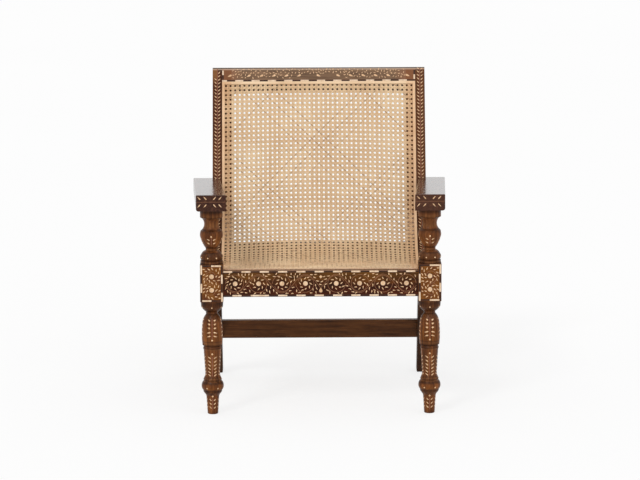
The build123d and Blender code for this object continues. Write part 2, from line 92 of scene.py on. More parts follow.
FACE_FRONT = rail_low.y
FACE_TOP = rail_high.z
POST_X = (post_low.x + post_high.x) / 2
POST_Y = (post_low.y + post_high.y) / 2
CANE_EDGE = cane_high.x
STILE_OUTER = stile_high.x
STILE_INNER = STILE_OUTER - STILE_WIDTH
STILE_MIDDLE = (CANE_EDGE + STILE_OUTER) / 2  # of the band of leaves beside the cane
CREST_TOP = crest_high.z
COVERED_TOP = CREST_TOP - CREST_BARE  # just under the cane's upper edge on the crest

# ---- Woven cane ----

# Travel is the distance along the cane's face, from the front rail's face towards the crest
CANE_PITCH_ACROSS = 13.6 * MM
CANE_PITCH_ALONG = 13.86 * MM
CANE_FIRST_ROW = 919.6 * MM  # travel of the uppermost row of holes
CANE_START = 4 * MM
CANE_END = 932.5 * MM
HALF_COLUMNS = 20.5
COLUMNS = int(2 * HALF_COLUMNS)
FIRST_PAIR = CANE_FIRST_ROW + CANE_PITCH_ALONG / 2  # travel of the uppermost level pair
PAIR_ROWS = int((FIRST_PAIR - CANE_START) / CANE_PITCH_ALONG) + 1
PAIR_OFFSET = 0.165  # of the pitch, from the middle of a pair to each of its strands
CELL_STEPS = 4  # points of a strand's path in each cell of the weave
STRAND_WIDTH = 3.6 * MM
DIAGONAL_WIDTH = 3.0 * MM
STRAND_THICKNESS = 1.5 * MM
WEAVE_MIDDLE = 1.55 * MM
PAIR_WAVE = 0.22 * MM
DIAGONAL_WAVE = 0.8 * MM
NARROW_EDGE = 270.5 * MM  # half the cane's width, between the posts' blocks
NOTCH_TRAVEL = 58.8 * MM
# Travel, and how far the rows there bow up in the middle, in mm
ROW_BOW = ((0, 0), (430, 11), (490, 14), (560, 14), (640, 11), (920, 3), (932, 0))
BRIDGE_RISE = 7 * MM  # of the cane's middle over the hollow of the bend
BRIDGE_TRAVEL = 320 * MM
BRIDGE_LENGTH = 110 * MM


def face_heading(travel):
    """Angle of the cane's face above the horizontal."""
    return np.clip(travel - SEAT_RUN, 0, BEND_LENGTH) / BEND_RADIUS - SEAT_SLOPE


def face_points(across, travel, lift):
    """Points on the face, raised by a lift towards the sitter."""
    values = [np.asarray(value, float) for value in (across, travel, lift)]
    across, travel, lift = np.broadcast_arrays(*values)
    heading = face_heading(travel)
    straight = np.minimum(travel, SEAT_RUN)
    beyond = np.maximum(travel - SEAT_RUN - BEND_LENGTH, 0)
    bend_depth = BEND_RADIUS * (np.sin(heading) + sin(SEAT_SLOPE))
    bend_height = BEND_RADIUS * (np.cos(heading) - cos(SEAT_SLOPE))
    depth = FACE_FRONT + straight * cos(SEAT_SLOPE) + bend_depth
    height = FACE_TOP - straight * sin(SEAT_SLOPE) - bend_height
    depth = depth + beyond * np.cos(heading) - lift * np.sin(heading)
    height = height + beyond * np.sin(heading) + lift * np.cos(heading)
    return np.stack([across, depth, height], axis=-1)


def new_mesh(name, vertices, faces, material, smooth=True):
    """An object from points and faces."""
    mesh = bpy.data.meshes.new(name)
    mesh.from_pydata([tuple(map(float, v)) for v in vertices], [], faces)
    mesh.validate()
    if smooth:
        mesh.shade_smooth()
    mesh.materials.append(material)
    piece = bpy.data.objects.new(name, mesh)
    bpy.context.scene.collection.objects.link(piece)
    return piece


def bowed(path):
    """A path in the flat sheet, as it lies when the sheet is strained over the bend."""
    across, travel, lift = np.array(path, float).T
    share = 1 - np.minimum(np.abs(across) / CANE_EDGE, 1) ** 2
    knots, bows = np.array(ROW_BOW).T * MM
    shift = share * np.interp(travel, knots, bows)
    rise = share * BRIDGE_RISE * np.exp(-(((travel - BRIDGE_TRAVEL) / BRIDGE_LENGTH) ** 2))
    return np.stack([across, travel + shift, lift + rise], axis=1)


def strand_mesh(name, strands, width, material):
    """Flat strands with a crowned section, along lists of (across, travel, lift)."""
    vertices, faces = [], []
    start = 0
    rise = STRAND_THICKNESS / 2
    for strand in strands:
        path = bowed(strand)
        across, travel, lift = path.T
        ahead = np.gradient(path[:, :2], axis=0)
        ahead /= np.linalg.norm(ahead, axis=1)[:, None]
        aside, along = np.stack([-ahead[:, 1], ahead[:, 0]]) * width / 2
        corners = [
            face_points(across - aside, travel - along, lift),
            face_points(across, travel, lift + rise),
            face_points(across + aside, travel + along, lift),
            face_points(across, travel, lift - rise),
        ]
        count = len(path)
        vertices.append(np.stack(corners, axis=1).reshape(-1, 3))
        rings = start + 4 * np.arange(count - 1)[:, None]
        corner = np.arange(4)[None, :]
        here, beside = rings + corner, rings + (corner + 1) % 4
        quads = np.stack([here, beside, beside + 4, here + 4], axis=-1)
        faces.extend(quads.reshape(-1, 4).tolist())
        last = start + 4 * (count - 1)
        faces.append([start + 3, start + 2, start + 1, start])
        faces.append([last, last + 1, last + 2, last + 3])
        start += 4 * count
    piece = new_mesh(name, np.concatenate(vertices), faces, material)
    rng = np.random.default_rng(len(strands))
    tones = np.repeat(rng.random(len(strands)), [4 * len(strand) for strand in strands])
    piece.data.attributes.new("tone", "FLOAT", "POINT").data.foreach_set("value", tones)
    return piece


def inside_cane(across, travel):
    """True where the cane lies: between its ends, its sides and the posts' blocks."""
    half = NARROW_EDGE if travel < NOTCH_TRAVEL else CANE_EDGE
    spare = STRAND_WIDTH / 2
    return CANE_START + spare <= travel <= CANE_END - spare and abs(across) <= half - spare


def stretches(path):
    """The parts of a path that lie inside the cane's outline."""
    runs, run = [], []
    for point in path:
        if inside_cane(point[0], point[1]):
            run.append(point)
        elif run:
            runs.append(run)
            run = []
    runs.append(run)
    return [run for run in runs if len(run) > 2]


def upright_strands():
    strands = []
    cells = np.arange(CELL_STEPS * (PAIR_ROWS + 1)) / CELL_STEPS
    travels = FIRST_PAIR - cells * CANE_PITCH_ALONG
    lifts = WEAVE_MIDDLE + PAIR_WAVE * np.cos(2 * pi * cells)
    for column in range(COLUMNS + 1):
        for side in (-PAIR_OFFSET, PAIR_OFFSET):
            across = (column - HALF_COLUMNS + side) * CANE_PITCH_ACROSS
            strands += stretches([(across, travel, lift) for travel, lift in zip(travels, lifts)])
    return strands


def level_strands():
    strands = []
    count = 2 * CELL_STEPS * (int(HALF_COLUMNS) + 1)
    cells = np.arange(count) / CELL_STEPS - HALF_COLUMNS - 1 / CELL_STEPS
    places = cells * CANE_PITCH_ACROSS
    lifts = WEAVE_MIDDLE - PAIR_WAVE * np.cos(2 * pi * (cells - HALF_COLUMNS))
    for row in range(PAIR_ROWS):
        for side in (-PAIR_OFFSET, PAIR_OFFSET):
            travel = FIRST_PAIR - (row + side) * CANE_PITCH_ALONG
            strands += stretches([(across, travel, lift) for across, lift in zip(places, lifts)])
    return strands


def diagonal_strands(direction):
    """Strands that climb to one side; they pass half a cell from the crossings of the pairs."""
    strands = []
    cells = np.arange(-1, CELL_STEPS * COLUMNS + 2) / CELL_STEPS
    across = (cells - HALF_COLUMNS) * CANE_PITCH_ACROSS
    lift = WEAVE_MIDDLE + direction * DIAGONAL_WAVE * np.cos(2 * pi * cells)
    for number in range(-COLUMNS - 1, PAIR_ROWS + COLUMNS + 1):
        along = number + 0.5 + direction * cells
        strands += stretches(list(zip(across, FIRST_PAIR - along * CANE_PITCH_ALONG, lift)))
    return strands


# ---- Colours ----


def colour(red, green, blue):
    """A display colour, 0 to 255, as a linear one."""
    linear = []
    for value in (red, green, blue):
        share = value / 255
        linear.append(share / 12.92 if share <= 0.04045 else ((share + 0.055) / 1.055) ** 2.4)
    return (*linear, 1.0)


# Dark, middle and light streaks of each wood
POSTS = (colour(66, 36, 18), colour(114, 70, 36), colour(162, 106, 60))
RAIL = (colour(54, 28, 8), colour(96, 58, 18), colour(134, 88, 34))
# The crest's wood is greyed: partly its own tone, partly a painted sheen over its face
CREST = (colour(78, 54, 36), colour(118, 88, 62), colour(154, 118, 88))
CARVED = (colour(44, 18, 8), colour(80, 42, 20), colour(116, 68, 36))
LEGS = (colour(34, 18, 8), colour(64, 38, 20), colour(88, 56, 30))
PLAIN_RAILS = (colour(50, 26, 12), colour(90, 54, 28), colour(116, 74, 40))
ARMS = (colour(38, 19, 12), colour(66, 38, 27), colour(96, 60, 42))

# Stains over the woods, with painted shade, shadow and highlights among them
# Painted shade in the hollows and creases of the wood
HOLLOW_SHADE = colour(34, 16, 8)
BLOCK_STAIN = (colour(84, 38, 18), colour(124, 74, 20))
RAIL_RED = colour(190, 118, 96)
RAIL_PATCH = colour(42, 20, 8)
RAIL_LIP = colour(178, 136, 108)
# Painted highlight along the rounded top, and painted shade along its uppermost line
TOP_SHEEN = colour(208, 180, 158)
TOP_SHADE_LINE = colour(44, 32, 24)
CREST_END = colour(138, 90, 60)
# Painted shade on the crest behind the cane
CREST_CANE_SHADE = colour(58, 30, 12)
STILE_PALE = colour(122, 78, 48)
# Painted highlight at the top of the left stile
STILE_CORNER_HIGHLIGHT = colour(150, 102, 58)

# Dark, middle and light streaks of bone
BONE = (colour(210, 176, 140), colour(236, 210, 180), colour(246, 228, 206))
BONE_AGED = (colour(200, 158, 114), colour(233, 190, 144), colour(245, 214, 174))
BONE_SPECK = colour(150, 110, 80)
HORN = (colour(34, 16, 6), colour(70, 36, 16))
VINE_BROWN = colour(156, 104, 64)
VINE_RED = colour(144, 84, 58)
VINE_STREAK = colour(96, 48, 24)

# Dark and light patches of each kind of cane
UPRIGHT_CANE = (colour(222, 185, 140), colour(242, 213, 172))
LEVEL_CANE = (colour(218, 179, 134), colour(240, 209, 166))
DIAGONAL_CANE = (colour(220, 181, 138), colour(243, 215, 176))
BINDING = (colour(220, 182, 140), colour(238, 206, 168))
BINDING_WORN = (colour(184, 144, 112), colour(208, 168, 136))
CANE_TAN = colour(196, 148, 104)
# Painted shade lines on a few diagonal strands
CANE_SHADE_LINE = colour(122, 82, 54)
CANE_FIBRE = colour(168, 120, 74)
CANE_BORDER = colour(244, 226, 212)

# ---- Materials ----


class Nodes:
    """Small helper that builds the nodes of a material or a world."""

    def __init__(self, owner, shader="Principled BSDF"):
        owner.use_nodes = True
        self.owner = owner
        self.tree = owner.node_tree
        self.shader = self.tree.nodes[shader]
        self.place = self.tree.nodes.new("ShaderNodeTexCoord").outputs["Object"]

    def add(self, kind, inputs=None, **settings):
        node = self.tree.nodes.new(kind)
        for key, value in settings.items():
            setattr(node, key, value)
        for key, value in (inputs or {}).items():
            if isinstance(value, bpy.types.NodeSocket):
                self.tree.links.new(value, node.inputs[key])
            else:
                node.inputs[key].default_value = value
        return node

    def noise(self, scale, stretch=(1, 1, 1), detail=4.0, roughness=0.55, distortion=0.0):
        mapping = self.add("ShaderNodeMapping", {"Vector": self.place, "Scale": stretch})
        inputs = {
            "Vector": mapping.outputs["Vector"],
            "Scale": scale,
            "Detail": detail,
            "Roughness": roughness,
            "Distortion": distortion,
        }
        return self.add("ShaderNodeTexNoise", inputs).outputs["Fac"]

    def ramp(self, factor, *stops):
        node = self.add("ShaderNodeValToRGB", {"Fac": factor})
        elements = node.color_ramp.elements
        while len(elements) < len(stops):
            elements.new(0.5)
        for element, (position, value) in zip(elements, stops):
            element.position = position
            element.color = value
        return node.outputs["Color"]

    def span(self, value, low, high, out_low=0.0, out_high=1.0):
        limits = {"From Min": low, "From Max": high, "To Min": out_low, "To Max": out_high}
        return self.add("ShaderNodeMapRange", {"Value": value, **limits}).outputs["Result"]

    def mix(self, factor, first, second, blend="MIX"):
        inputs = {0: factor, 6: first, 7: second}
        node = self.add("ShaderNodeMix", inputs, data_type="RGBA", blend_type=blend)
        return node.outputs[2]

    def math(self, operation, first, second=0.0):
        return self.add("ShaderNodeMath", {0: first, 1: second}, operation=operation).outputs[0]

    def axis(self, name):
        return self.add("ShaderNodeSeparateXYZ", {"Vector": self.place}).outputs[name]

    def aside(self):
        """Distance from the chair's middle plane."""
        return self.math("ABSOLUTE", self.axis("X"))

    def facing(self, axis):
        """How far the surface faces along an axis."""
        normal = self.add("ShaderNodeNewGeometry").outputs["Normal"]
        return self.add("ShaderNodeSeparateXYZ", {"Vector": normal}).outputs[axis]

    def bump(self, height, strength, distance):
        inputs = {"Height": height, "Strength": strength, "Distance": distance}
        node = self.add("ShaderNodeBump", inputs)
        self.tree.links.new(node.outputs["Normal"], self.shader.inputs["Normal"])

    def set(self, **sockets):
        for key, value in sockets.items():
            socket = self.shader.inputs[key.replace("_", " ")]
            if isinstance(value, bpy.types.NodeSocket):
                self.tree.links.new(value, socket)
            else:
                socket.default_value = value


def new_material(name):
    return Nodes(bpy.data.materials.new(name))


GRAIN = {"X": (1, 14, 14), "Y": (14, 1, 14), "Z": (14, 14, 1)}
PORE_SHADE = (0.72, 0.7, 0.68, 1)
HOLLOW_REACH = 14 * MM
WOOD_BUMP = 0.4 * MM
FINE_BUMP = 0.2 * MM


def wood(name, palette, grain, gloss=0.32, shine=0.16, tint=None, finish=None):
    """Oiled hardwood with streaks along one axis, pores, rubbed patches, and painted shade in its
    hollows.
    """
    dark, middle, light = palette
    n = new_material(name)
    streaks = n.noise(9, GRAIN[grain], detail=6, roughness=0.62, distortion=0.6)
    fine = n.noise(60, GRAIN[grain], detail=3, roughness=0.7)
    pores = n.noise(150, GRAIN[grain], detail=2, roughness=0.6)
    patches = n.noise(7, detail=3)
    body = n.ramp(streaks, (0.28, dark), (0.52, middle), (0.74, light))
    shade = n.ramp(fine, (0.35, PORE_SHADE), (0.62, (1, 1, 1, 1)))
    body = n.mix(0.75, body, shade, "MULTIPLY")
    body = n.mix(n.span(patches, 0.5, 0.75, 0.0, 0.35), body, light)
    if tint is not None:
        body = tint(n, body)
    distance = {"Distance": HOLLOW_REACH}
    # Painted shade: the wood is darkened where its own shape hides it from the light, in hollows
    # and creases
    occlusion = n.add("ShaderNodeAmbientOcclusion", distance, samples=6, only_local=True)
    hollow = n.span(occlusion.outputs["AO"], 0.4, 0.92, 0.8, 0.0)
    body = n.mix(hollow, body, HOLLOW_SHADE)
    rough = n.span(patches, 0.3, 0.7, gloss - 0.06, gloss + 0.1)
    n.set(Base_Color=body, Roughness=rough, IOR=1.4, Specular_IOR_Level=shine)
    n.bump(n.math("ADD", n.math("MULTIPLY", streaks, 0.5), pores), 0.25, WOOD_BUMP)
    if finish is not None:
        finish(n)
    return n.owner


def polish(n):
    """Polishes wood along its grain, and leaves its end grain matt."""
    end_grain = n.math("ABSOLUTE", n.facing("Y"))
    coat = n.span(end_grain, 0.4, 0.15, 0.0, 0.4)
    rough = n.span(end_grain, 0.4, 0.15, 0.42, 0.2)
    n.set(Coat_Weight=coat, Roughness=rough, Coat_Roughness=0.12)


DEEP = (0.26, 0.2, 0.18, 1)
DUSKY = (0.5, 0.43, 0.37, 1)
RUDDY = (0.84, 0.7, 0.6, 1)
PLAIN = (1, 1, 1, 1)
GOLDEN = (1, 0.86, 0.55, 1)
# Height up a post in mm, and the tone painted on the wood there: painted shade in the hollows,
# scored lines and by the block, a painted shadow under the arm, painted highlights on the rims,
# and golden on the vases
LOWER_TONES = (
    (0, DUSKY), (12, RUDDY), (50, RUDDY), (60, DUSKY), (68, DEEP), (73, GOLDEN), (84, RUDDY),
    (88.5, DEEP), (91.5, DEEP), (94.5, PLAIN), (98, DUSKY), (101.5, PLAIN), (104.5, DUSKY),
    (109, RUDDY), (140, PLAIN), (182, RUDDY), (185, PLAIN), (187.5, DEEP), (192, RUDDY),
    (197, DEEP), (203, PLAIN), (207, DUSKY), (210, GOLDEN), (235, GOLDEN), (258, RUDDY),
    (280, DUSKY), (285, DEEP), (289, RUDDY), (294, DEEP), (303, DUSKY), (315, DEEP), (320, DUSKY),
)
UPPER_TONES = (
    (427, DEEP), (429.5, DUSKY), (431.5, PLAIN), (434, DEEP), (438.5, DUSKY), (453, DUSKY),
    (458, DEEP), (461, RUDDY), (465, PLAIN), (469, RUDDY), (472, DEEP), (476, RUDDY),
    (486, GOLDEN), (512, RUDDY), (522.5, DEEP), (526, RUDDY), (532, PLAIN), (550, RUDDY),
    (556.5, DUSKY), (561, PLAIN), (566, RUDDY), (572, DEEP),
)
SOFT = 1 * MM  # each way from a line where one tone turns into another
RAIL_GOLD_ENDS = (15 * MM, 50 * MM)  # under the rail's upper edge, where gold turns to red-brown
RAIL_LIP_ENDS = (3.6 * MM, 2.6 * MM)  # under the rail's upper edge, where its pale lip fades in
CREST_END_LENGTH = 34 * MM
COVERED_FADE = 3 * MM
CORNER_HIGHLIGHT_DEPTHS = (45 * MM, 25 * MM)  # under the left stile's top, where its painted golden highlight fades in


def tones_by_height(n, height, tones):
    low, high = tones[0][0], tones[-1][0]
    share = n.span(height, low * MM, high * MM)
    return n.ramp(share, *(((level - low) / (high - low), tone) for level, tone in tones))


def post_tint(n, body):
    """Turned parts get painted shade in their hollows and painted highlights on their rims; the
    square blocks are of a golden brown.
    """
    height = n.axis("Z")
    upper = n.span(height, BLOCK_MIDDLE - SOFT, BLOCK_MIDDLE + SOFT)
    lower_tone = tones_by_height(n, height, LOWER_TONES)
    tone = n.mix(upper, lower_tone, tones_by_height(n, height, UPPER_TONES))
    # Painted shade and highlights, by height, over the turned parts
    turned = n.mix(0.85, body, tone, "MULTIPLY")
    above = n.span(height, BLOCK_BOTTOM - SOFT, BLOCK_BOTTOM + SOFT)
    below = n.span(height, BLOCK_TOP + SOFT, BLOCK_TOP - SOFT)
    stain = n.ramp(n.noise(45, detail=3), (0.35, BLOCK_STAIN[0]), (0.6, BLOCK_STAIN[1]))
    return n.mix(n.math("MULTIPLY", above, below), turned, n.mix(0.75, body, stain))


def rail_tint(n, body):
    """The front rail has a pale lip, is golden under it and red-brown below, with dark patches."""
    height = n.axis("Z")
    low = n.span(height, *(FACE_TOP - depth for depth in RAIL_GOLD_ENDS), 0.0, 0.9)
    body = n.mix(low, body, RAIL_RED, "MULTIPLY")
    body = n.mix(n.span(n.noise(38, detail=3), 0.45, 0.62, 0.0, 0.6), body, RAIL_PATCH)
    lip = n.span(height, *(FACE_TOP - depth for depth in RAIL_LIP_ENDS), 0.0, 0.8)
    return n.mix(lip, body, RAIL_LIP)


def on_front(n, share):
    """A share of a tint, kept to the surfaces that face the front."""
    return n.math("MULTIPLY", n.span(n.facing("Y"), -0.2, -0.5), share)


def rounded_sheen(n, body):
    """The rounding along the chair's top gets a painted highlight, as if catching the light from
    above, and its uppermost line gets painted shade.
    """
    up = n.facing("Z")
    body = n.mix(n.span(up, 0.42, 0.62, 0.0, 0.6), body, TOP_SHEEN)
    return n.mix(n.span(up, 0.74, 0.84, 0.0, 0.9), body, TOP_SHADE_LINE)


def crest_tint(n, body):
    """The crest's front turns red-brown towards its ends, and gets painted shade where the cane
    covers it.
    """
    outwards = n.span(n.aside(), STILE_INNER - CREST_END_LENGTH, STILE_INNER, 0.0, 0.75)
    body = n.mix(on_front(n, outwards), body, CREST_END)
    # Painted shade, as the cane would cast on the crest behind it
    cane_shade = n.span(n.axis("Z"), COVERED_TOP, COVERED_TOP - COVERED_FADE, 0.0, 0.85)
    body = n.mix(on_front(n, cane_shade), body, CREST_CANE_SHADE)
    return rounded_sheen(n, body)


def stile_tint(n, body):
    """The right stile is paler, the left one has a painted golden highlight at its top corner, and
    both carry on the crest.
    """
    across, height = n.axis("X"), n.axis("Z")
    body = n.mix(n.span(across, 0.0, SOFT, 0.0, 0.3), body, STILE_PALE)
    left = n.span(across, SOFT - STILE_MIDDLE, -SOFT - STILE_MIDDLE)
    # Painted highlight: the top of the left stile turns golden
    corner = n.span(height, *(CREST_TOP - depth for depth in CORNER_HIGHLIGHT_DEPTHS), 0.0, 0.6)
    body = n.mix(n.math("MULTIPLY", left, corner), body, STILE_CORNER_HIGHLIGHT)
    inside = n.span(n.aside(), CANE_EDGE + SOFT / 2, CANE_EDGE - SOFT / 2, 0.0, 0.75)
    beside_crest = n.span(height, COVERED_TOP - SOFT, COVERED_TOP)
    body = n.mix(on_front(n, n.math("MULTIPLY", inside, beside_crest)), body, CREST_END)
    return rounded_sheen(n, body)


def bone(name, palette):
    """Polished bone with faint streaks and darker specks."""
    dark, middle, light = palette
    n = new_material(name)
    streaks = n.noise(120, (1, 1, 0.35), detail=3)
    specks = n.noise(700, detail=2)
    body = n.ramp(streaks, (0.3, dark), (0.6, middle), (0.8, light))
    body = n.mix(n.span(specks, 0.62, 0.72, 0.0, 0.4), body, BONE_SPECK)
    rough = n.span(streaks, 0.3, 0.7, 0.3, 0.45)
    n.set(Base_Color=body, Roughness=rough, Coat_Weight=0.1, Coat_Roughness=0.2)
    n.bump(specks, 0.15, FINE_BUMP)
    return n.owner


def horn(name, palette):
    dark, light = palette
    n = new_material(name)
    streaks = n.noise(90, (1, 1, 0.3), detail=4)
    body = n.ramp(streaks, (0.3, dark), (0.7, light))
    rough = n.span(streaks, 0.3, 0.7, 0.34, 0.46)
    n.set(Base_Color=body, Roughness=rough, Specular_IOR_Level=0.25)
    n.bump(streaks, 0.1, FINE_BUMP)
    return n.owner


PATCH_STRETCH = {"across": (0.3, 1, 1), "along": (1, 0.3, 0.3), "both": (1, 1, 1)}
BORDER_FADE = 2 * MM  # each way from the line where the cane begins to cover the stile


def cane(name, palette, along, lines=0.0):
    """Peeled cane with fibres and strands of differing tone, a few darkened as painted shade
    lines, and a duskier border.
    """
    dark, light = palette
    n = new_material(name)
    tone = n.noise(11, PATCH_STRETCH[along], detail=3)
    strand = n.add("ShaderNodeAttribute", attribute_name="tone").outputs["Fac"]
    fibres = n.noise(900, (1, 1, 1), detail=1)
    body = n.ramp(tone, (0.3, dark), (0.65, light))
    body = n.mix(n.span(strand, 0.4, 0.9, 0.0, 0.3), body, CANE_TAN)
    # Painted shade: a share of the strands, set by lines, is darkened to stand for the shade
    # between strands
    body = n.mix(n.span(strand, 0.88, 0.92, 0.0, lines), body, CANE_SHADE_LINE)
    body = n.mix(n.span(fibres, 0.6, 0.8, 0.0, 0.25), body, CANE_FIBRE)
    edge = n.span(n.aside(), STILE_INNER - BORDER_FADE, STILE_INNER + BORDER_FADE, 0.0, 0.6)
    body = n.mix(edge, body, CANE_BORDER, "MULTIPLY")
    n.set(Base_Color=body, Roughness=n.span(tone, 0.3, 0.7, 0.4, 0.55))
    n.bump(fibres, 0.2, FINE_BUMP)
    return n.owner


def vine_wood(name, tone):
    n = new_material(name)
    streaks = n.noise(160, detail=3)
    body = n.mix(n.span(streaks, 0.3, 0.7, 0.0, 0.5), tone, VINE_STREAK)
    n.set(Base_Color=body, Roughness=0.45)
    n.bump(streaks, 0.2, FINE_BUMP)
    return n.owner


carved_posts = wood("carved_posts", POSTS, "Z", tint=post_tint)
carved_rail = wood("carved_rail", RAIL, "X", tint=rail_tint)
carved_crest = wood("carved_crest", CREST, "X", gloss=0.35, shine=0.4, tint=crest_tint)
carved_stiles = wood("carved_stiles", CARVED, "Z", tint=stile_tint)
carved_seat_rails = wood("carved_seat_rails", CARVED, "Y")
arm_wood = wood("arm_wood", ARMS, "Y", gloss=0.4, shine=0.2, finish=polish)
plain_legs = wood("plain_legs", LEGS, "Z")
plain_rails = wood("plain_rails", PLAIN_RAILS, "X")
peg_wood = wood("peg_wood", CARVED, "X")
bone_plain = bone("bone_inlay", BONE)
bone_aged = bone("bone_leaves", BONE_AGED)
horn_plain = horn("horn_inlay", HORN)
cane_upright = cane("cane_upright", UPRIGHT_CANE, "along")
cane_level = cane("cane_level", LEVEL_CANE, "across")
cane_diagonal = cane("cane_diagonal", DIAGONAL_CANE, "both", lines=0.45)
binding_skin = cane("binding_skin", BINDING, "both")
binding_worn = cane("binding_worn", BINDING_WORN, "both")
vine_tone = vine_wood("vine_wood", VINE_BROWN)
vine_red = vine_wood("vine_red", VINE_RED)

# By the start of a node's name; the first that fits is used
NODE_MATERIALS = {
    "front_post": carved_posts,
    "front_rail": carved_rail,
    "top_rail": carved_crest,
    "back_stile": carved_stiles,
    "seat_side_rail": carved_seat_rails,
    "armrest": arm_wood,
    "rear_leg": plain_legs,
    "rear_stretcher": plain_rails,
    "rear_seat_rail": plain_rails,
    "lap_pegs": peg_wood,
    "arm_peg": peg_wood,
    "cane_binding_front": binding_worn,
    "cane_binding": binding_skin,
    "cane_panel": cane_level,
}


def dress_nodes():
    """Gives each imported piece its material."""
    for node, piece in frame["nodes"].items():
        if "bone" in node or "flowers" in node:
            chosen = bone_plain
        elif "horn" in node:
            chosen = horn_plain
        else:
            chosen = next(m for prefix, m in NODE_MATERIALS.items() if node.startswith(prefix))
        for material_slot in piece.material_slots:
            material_slot.material = chosen
        if not piece.material_slots:
            piece.data.materials.append(chosen)


# ---- Inlay laid on the wood ----

SEARCH_REACH = 40 * MM  # each way from a view's plane, where its surface is looked for
CHIP_SINK = 0.3 * MM
CHIP_RISE = 0.35 * MM
CHIP_CROWN = 0.72  # of a chip's outline, kept by its flat top
LINE_RISE = 0.12 * MM
LINE_BREAK = 8 * MM  # between points further apart than this, a line is broken
# One side of a leaf, from its stalk to its tip, in shares of its length and width
LEAF_SHAPE = ((-0.5, 0.0), (-0.42, 0.32), (-0.2, 0.5), (0.15, 0.32), (0.5, 0.0))
FLOWER_RADIUS = 6.7 * MM
PETALS = 6
VINE_WIDTH = 1.05 * MM
STEM_WIDTH = 1.8 * MM


def surface_of(*nodes):
    """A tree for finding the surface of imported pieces."""
    vertices, faces = [], []
    for node in nodes:
        mesh = frame["nodes"][node].data
        start = len(vertices)
        vertices += [v.co.copy() for v in mesh.vertices]
        faces += [[start + i for i in polygon.vertices] for polygon in mesh.polygons]
    return BVHTree.FromPolygons(vertices, faces)


class View:
    """A flat layout beside a surface: u to the right and v up, seen along a direction."""

    def __init__(self, surface, origin, right, up):
        self.surface = surface
        self.origin = Vector(origin)
        self.right = Vector(right).normalized()
        self.up = Vector(up).normalized()
        self.inward = self.up.cross(self.right)

    def at(self, u, v, rise):
        """The point over the surface at (u, v), raised; None where the surface ends."""
        start = self.origin + u * self.right + v * self.up - SEARCH_REACH * self.inward
        place = self.surface.ray_cast(start, self.inward, 2 * SEARCH_REACH)[0]
        return None if place is None else place - rise * self.inward


def around(u, v, radius, angle):
    return u + radius * cos(angle), v + radius * sin(angle)


class Chips:
    """Small closed chips, all in one mesh."""

    def __init__(self):
        self.vertices, self.faces = [], []

    def add(self, view, outline):
        """A domed chip with this outline of (u, v) points, anticlockwise."""
        middle_u = sum(u for u, _ in outline) / len(outline)
        middle_v = sum(v for _, v in outline) / len(outline)
        points = [view.at(u, v, -CHIP_SINK) for u, v in outline]
        points += [view.at(u, v, CHIP_RISE * 0.2) for u, v in outline]
        for u, v in outline:
            top_u = middle_u + CHIP_CROWN * (u - middle_u)
            top_v = middle_v + CHIP_CROWN * (v - middle_v)
            points.append(view.at(top_u, top_v, CHIP_RISE))
        if any(point is None for point in points):
            return
        # A chip that would hang over an edge or a hollow is left out
        spread = max((point - points[0]).length for point in points)
        reach = max(hypot(u - outline[0][0], v - outline[0][1]) for u, v in outline)
        if spread > 1.6 * reach + 1.0 * MM:
            return
        start, count = len(self.vertices), len(outline)
        self.vertices += points
        for ring in range(2):
            low = start + ring * count
            for i in range(count):
                j = (i + 1) % count
                self.faces.append([low + i, low + j, low + count + j, low + count + i])
        self.faces.append([start + 2 * count + i for i in range(count)])
        self.faces.append([start + count - 1 - i for i in range(count)])

    def leaf(self, view, u, v, angle, length, width, bend=0.0):
        """A pointed leaf; the angle is that of its tip, from the right, upwards."""
        side = [(x * length, y * width) for x, y in LEAF_SHAPE]
        outline = [(x, -y) for x, y in side] + [(x, y) for x, y in reversed(side[1:-1])]
        placed = []
        for x, y in outline:
            y += bend * (1 - (2 * x / length) ** 2)
            right = x * cos(angle) - y * sin(angle)
            up = x * sin(angle) + y * cos(angle)
            placed.append((u + right, v + up))
        self.add(view, placed)

    def dot(self, view, u, v, radius, sides=10):
        turn = 2 * pi / sides
        self.add(view, [around(u, v, radius, turn * i) for i in range(sides)])

    def diamond(self, view, u, v, width, height):
        right, up = width / 2, height / 2
        self.add(view, [(u + right, v), (u, v + up), (u - right, v), (u, v - up)])

    def line(self, view, points, width):
        """A thin line let into the surface."""
        count = len(points)
        rows = []
        for i, (u, v) in enumerate(points):
            before, after = points[max(i - 1, 0)], points[min(i + 1, count - 1)]
            du, dv = after[0] - before[0], after[1] - before[1]
            size = hypot(du, dv)
            nu, nv = -dv / size * width / 2, du / size * width / 2
            row = [view.at(u + nu, v + nv, LINE_RISE), view.at(u - nu, v - nv, LINE_RISE)]
            row += [view.at(u - nu, v - nv, -CHIP_SINK), view.at(u + nu, v + nv, -CHIP_SINK)]
            if any(point is None for point in row):
                continue
            if rows and (row[0] - rows[-1][0]).length > LINE_BREAK:
                self.close_line(rows)
                rows = []
            rows.append(row)
        self.close_line(rows)

    def close_line(self, rows):
        """Joins rows of four corners into a closed bar."""
        if len(rows) < 2:
            return
        start = len(self.vertices)
        for row in rows:
            self.vertices += row
        for i in range(len(rows) - 1):
            low = start + 4 * i
            for j in range(4):
                k = (j + 1) % 4
                self.faces.append([low + k, low + j, low + 4 + j, low + 4 + k])
        last = start + 4 * (len(rows) - 1)
        self.faces.append([start + i for i in range(4)])
        self.faces.append([last + 3 - i for i in range(4)])

    def finish(self, name, material, slot):
        piece = new_mesh(name, self.vertices, self.faces, material, smooth=False)
        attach(piece, BODY)


